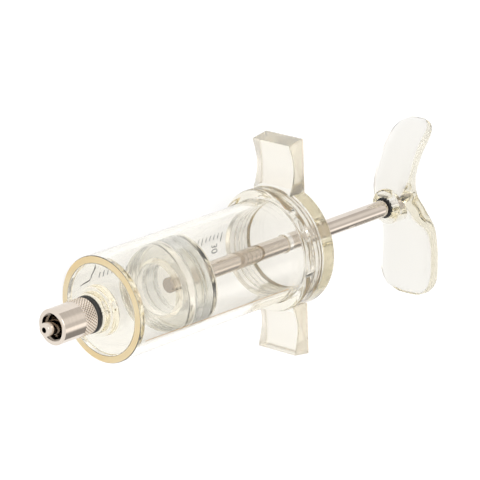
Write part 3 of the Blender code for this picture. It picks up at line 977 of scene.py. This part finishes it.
work = bmesh.new()
for volume in range(1, LAST_VOLUME + 1):
    reach = SHORT_MARK
    if volume % 5 == 0:
        reach = LONG_MARK if volume % 10 == 0 else MIDDLE_MARK
    ink_strip(work, mark_place(volume), MARK_START, MARK_START - reach)
print("one millilitre is", round(ML * 1000, 3), "mm of the bore, and", volume, "marks are drawn")

# %% [markdown]
# ## The numbers
# The numbers are letters of a plain font, with their tops towards the nozzle. Flat letters would
# sink into the tube or stand off it, so every point is bent round the barrel before the letters
# join the marks.

# %% Numbers
NUMBER_HEIGHT = 0.0026
CAPITAL_SHARE = 0.72  # how much of a font's size a number fills
NUMBER_SHIFT = 0.0014
NUMBER_START = MARK_START - 14.3


def add_number(work, text, x, degrees):
    """Letters that run round the tube from this place."""
    letters = bpy.data.curves.new("letters", "FONT")
    letters.body = text
    letters.size = NUMBER_HEIGHT / CAPITAL_SHARE
    letters.extrude = INK_THICKNESS / 2
    carrier = bpy.data.objects.new("letters", letters)
    scene.collection.objects.link(carrier)
    flat = evaluated_mesh(carrier)
    bpy.data.objects.remove(carrier)
    for vert in flat.vertices:
        turned_by = math.degrees(vert.co.x / BARREL_RADIUS)
        radius = INK_RADIUS + INK_THICKNESS / 2 + vert.co.z
        vert.co = round_point(x - vert.co.y, degrees - turned_by, radius)
    work.from_mesh(flat)


for volume in (10, 20, 30):
    add_number(work, str(volume), mark_place(volume) - NUMBER_SHIFT, NUMBER_START)
scale_print = finish_mesh("scale_print", work)
print("the scale has", len(scale_print.data.polygons), "faces")

# %% [markdown]
# ## Ink
# Printed ink is thin and a little uneven, so its tone wanders between darker and paler. The scale
# is an extra piece. It rides with the barrel, but it replaces nothing of the model.

# %% Ink
WEAR_SCALE = 900
INK_ROUGHNESS = 0.55


def ink(name, colour):
    material, tree, shader = new_material(name)
    wear = noise(tree, place_on(tree), WEAR_SCALE)
    tone = two_tone(tree, wear, [c * 0.7 for c in colour], [c * 1.3 for c in colour])
    tree.links.new(tone, shader.inputs["Base Color"])
    shader.inputs["Roughness"].default_value = INK_ROUGHNESS
    return material


coat(scale_print, ink("scale_ink", (0.035, 0.033, 0.032)))
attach(scale_print, "barrel")

# %% [markdown]
# ## A hairline in the disc
# The front disc has a dark crooked hairline above the boss. The material could draw it, but a
# mesh of its own is easier to place and stays crisp close up. So it is a very thin thread that
# lies on the surface, and it swells and thins on its way.

# %% Hairline
MM = 0.001
CRACK_SIDES = 6
CRACK = (  # across, up and radius, in millimetres
    (13.4, -1.2, 0.07), (12.3, -1.4, 0.16), (11.4, -1.9, 0.12), (9.8, -3.0, 0.10),
    (8.9, -3.3, 0.09), (8.1, -3.9, 0.13), (7.4, -5.0, 0.16), (6.4, -6.6, 0.12), (5.5, -7.9, 0.06),
)


def thread_along(work, points, radii):
    """A thin closed tube through the points."""
    rings = []
    for index, point in enumerate(points):
        ahead = points[min(index + 1, len(points) - 1)] - points[max(index - 1, 0)]
        across = ahead.orthogonal().normalized()
        over = ahead.normalized().cross(across)
        angles = [2 * math.pi * i / CRACK_SIDES for i in range(CRACK_SIDES)]
        rings.append([
            work.verts.new(point + (across * math.cos(a) + over * math.sin(a)) * radii[index])
            for a in angles
        ])
    skin(work, rings)


work = bmesh.new()
crack_points = [Vector((-0.0002, y * MM, z * MM)) for y, z, r in CRACK]
thread_along(work, crack_points, [r * MM for y, z, r in CRACK])
hairline = finish_mesh("hairline", work)
coat(hairline, ink("hairline_dark", (0.02, 0.018, 0.016)))
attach(hairline, "barrel")
print("the hairline has", len(hairline.data.polygons), "faces")

# %% [markdown]
# ## A line along the tube
# A fine brown line runs along the lower side of the tube. It is made like the scale's marks, as a
# flat closed strip on the surface, but along the tube, with a very slight turn.

# %% Side line
LINE_START, LINE_END = (0.0034, 117.1), (0.0640, 119.7)  # place along and degrees round
LINE_HALF = 0.45
LINE_STEPS = 40
line_profile = (
    (-LINE_HALF, 0), (LINE_HALF, 0), (LINE_HALF, INK_THICKNESS), (-LINE_HALF, INK_THICKNESS),
)
work = bmesh.new()
sections = []
for step in range(LINE_STEPS + 1):
    share = step / LINE_STEPS
    x = LINE_START[0] + (LINE_END[0] - LINE_START[0]) * share
    degrees = LINE_START[1] + (LINE_END[1] - LINE_START[1]) * share
    sections.append([
        work.verts.new(round_point(x, degrees + turn, INK_RADIUS + rise))
        for turn, rise in line_profile
    ])
skin(work, sections)
side_line = finish_mesh("side_line", work)
coat(side_line, ink("side_line_brown", (0.42, 0.24, 0.08)))
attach(side_line, "barrel")
print("the line is", round((LINE_END[0] - LINE_START[0]) * 1000, 1), "mm long")

# %% [markdown]
# ## A light table
# The photograph has a pure white ground with hardly any shadow, and the clear walls are bright
# all through. A light table does that: its top glows softly, so clear pieces are lit from below
# as well. A white floor under strong lamps would show their shadows.

# %% Floor
FLOOR_HALF = 3
FLOOR_GREY = 0.30
FLOOR_GLOW = 0.80
signs = ((-1, -1), (1, -1), (1, 1), (-1, 1))
floor_corners = [(x * FLOOR_HALF, y * FLOOR_HALF, 0) for x, y in signs]
floor_mesh = bpy.data.meshes.new("floor")
floor_mesh.from_pydata(floor_corners, [], [(0, 1, 2, 3)])
floor = bpy.data.objects.new("floor", floor_mesh)
scene.collection.objects.link(floor)
floor_material, floor_tree, floor_shader = new_material("floor_white")
floor_shader.inputs["Base Color"].default_value = (FLOOR_GREY, FLOOR_GREY, FLOOR_GREY, 1)
floor_shader.inputs["Roughness"].default_value = 0.9
floor_shader.inputs["Specular IOR Level"].default_value = 0.1
floor_shader.inputs["Emission Color"].default_value = (1, 1, 1, 1)
floor_shader.inputs["Emission Strength"].default_value = FLOOR_GLOW
floor_mesh.materials.append(floor_material)
print("the table is", 2 * FLOOR_HALF, "m wide")

# %% [markdown]
# ## The sky as a studio
# Metal and clear plastic show mostly what stands round them. An even sky would leave them flat.
# So the sky is evenly bright on the camera's side, and on the far side it has two bright panels
# with darker gaps, which give the rod and the collar light and dark stripes.

# %% Sky
NEAR_SKY = (1.15, 1.14, 1.12, 1)
FAR_SIDE = (0.45, 0.62)  # where the near sky goes over into the far one
WARMTH = (1, 0.97, 0.94)
PANELS = (  # a place across the sky, from -1 to 1, and its brightness
    (-0.75, 0.34), (-0.57, 0.34), (-0.42, 1.50), (-0.24, 1.50), (-0.14, 0.78),
    (0.08, 0.78), (0.22, 1.05), (0.50, 1.05), (0.64, 0.75), (0.80, 0.75),
)
world = bpy.data.worlds.new("studio")
scene.world = world
world.use_nodes = True
sky = world.node_tree
background = sky.nodes["Background"]
heading = sky.nodes.new("ShaderNodeTexCoord")
split = sky.nodes.new("ShaderNodeSeparateXYZ")
sky.links.new(heading.outputs["Generated"], split.inputs["Vector"])

panels = sky.nodes.new("ShaderNodeValToRGB")
while len(panels.color_ramp.elements) < len(PANELS):
    panels.color_ramp.elements.new(0.5)
for element, (place, level) in zip(panels.color_ramp.elements, PANELS):
    element.position = (place + 1) / 2
    element.color = (*[level * share for share in WARMTH], 1)
sky.links.new(ranged(sky, split.outputs["Y"], 0, 1, -1, 1), panels.inputs["Fac"])

far_side = ranged(sky, split.outputs["X"], 0, 1, *FAR_SIDE)
blend = mixed(sky, far_side, NEAR_SKY, panels.outputs["Color"])
sky.links.new(blend, background.inputs["Color"])
background.inputs["Strength"].default_value = 1.0
print("the sky has", len(PANELS), "stops from panel to panel")

# %% [markdown]
# ## One soft lamp
# The table and the sky give nearly all the light. One large, weak lamp above adds a soft
# highlight. Light crosses many clear walls here, so it may pass far more surfaces than usual
# before it is given up. With fewer, thick places would turn black.

# %% Lamp and bounces
LAMP_PLACE = Vector((-0.3, 0.5, 0.8))
LAMP_SIZE = 0.6
LAMP_WATTS = 2
lamp = bpy.data.lights.new("key", "AREA")
lamp.shape = "RECTANGLE"
lamp.size = lamp.size_y = LAMP_SIZE
lamp.energy = LAMP_WATTS
lamp_object = bpy.data.objects.new("key", lamp)
lamp_object.location = LAMP_PLACE
lamp_object.rotation_euler = (-LAMP_PLACE).to_track_quat("-Z", "Y").to_euler()
scene.collection.objects.link(lamp_object)

scene.cycles.max_bounces = 32
scene.cycles.transmission_bounces = 32
scene.cycles.glossy_bounces = 8
scene.cycles.diffuse_bounces = 12
print("light may pass", scene.cycles.transmission_bounces, "clear surfaces")

# %% [markdown]
# ## The camera
# In the photograph the barrel's ends are ellipses, and their shape says how far the axis turns
# away from the camera. From them and from the wings come three directions, seen by the camera:
# the axis, the wing and the way up from the table. They place the camera relative to the syringe,
# and a long lens keeps the perspective slight.

# %% Camera
PHOTO_WIDTH = 480
FOCAL_PIXELS = 3220
SENSOR_WIDTH = 36
WING_LEAN = -0.032
START_SEEN = Vector((-0.03972, -0.01993, -0.91902))
axis_seen = Vector((0.6851, 0.2429, -0.6869)).normalized()
wing_depth = (axis_seen.x * WING_LEAN + axis_seen.y) / -axis_seen.z
wing_seen = Vector((WING_LEAN, 1, wing_depth)).normalized()
up_seen = axis_seen.cross(wing_seen)
directions = Matrix((axis_seen, wing_seen, up_seen)).transposed().to_4x4()
syringe_seen = Matrix.Translation(START_SEEN) @ directions

camera = bpy.data.cameras.new("camera")
camera.sensor_width = SENSOR_WIDTH
camera.lens = FOCAL_PIXELS / PHOTO_WIDTH * SENSOR_WIDTH
camera_object = bpy.data.objects.new("camera", camera)
camera_object.matrix_world = lay_down @ syringe_seen.inverted()
scene.collection.objects.link(camera_object)
scene.camera = camera_object
scene.view_settings.view_transform = "Standard"
print("camera at", tuple(round(value, 4) for value in camera_object.matrix_world.translation))
